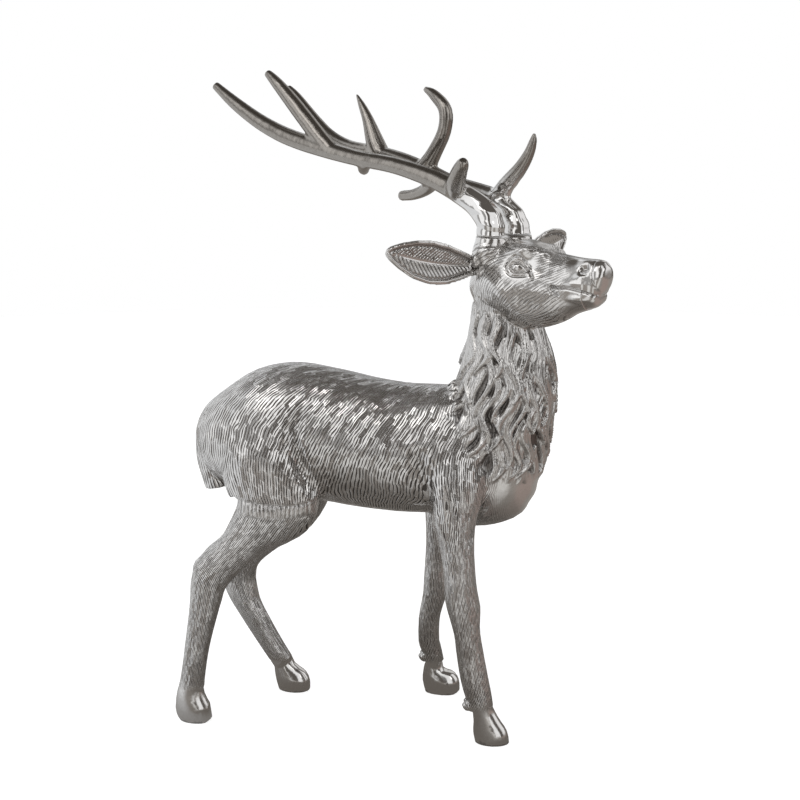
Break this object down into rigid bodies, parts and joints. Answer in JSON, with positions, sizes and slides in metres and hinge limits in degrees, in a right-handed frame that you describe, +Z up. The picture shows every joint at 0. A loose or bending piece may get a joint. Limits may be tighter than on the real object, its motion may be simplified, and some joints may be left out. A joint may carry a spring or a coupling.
{
  "type": "cast aluminium deer statue",
  "caption": "Standing stag figure in polished cast metal, head turned to its right, with engraved fur, a mane of wavy locks and swept-back antlers; stands on its four hooves.",
  "frame": {"origin": "middle of the bounding box in plan, on the ground under the hooves", "axes": "+X the way the stag's body faces, +Y towards its left side, +Z up"},
  "size_m": [0.3998, 0.276, 0.6018],
  "materials": {
    "engraved_aluminium": "polished cast aluminium with engraved fur, darker in the grooves",
    "bright_aluminium": "smooth mirror-like polished cast aluminium"
  },
  "bodies": {
    "root": {"body": "engraved_aluminium", "antler_right": "bright_aluminium", "antler_left": "bright_aluminium"}
  },
  "joints": []
}
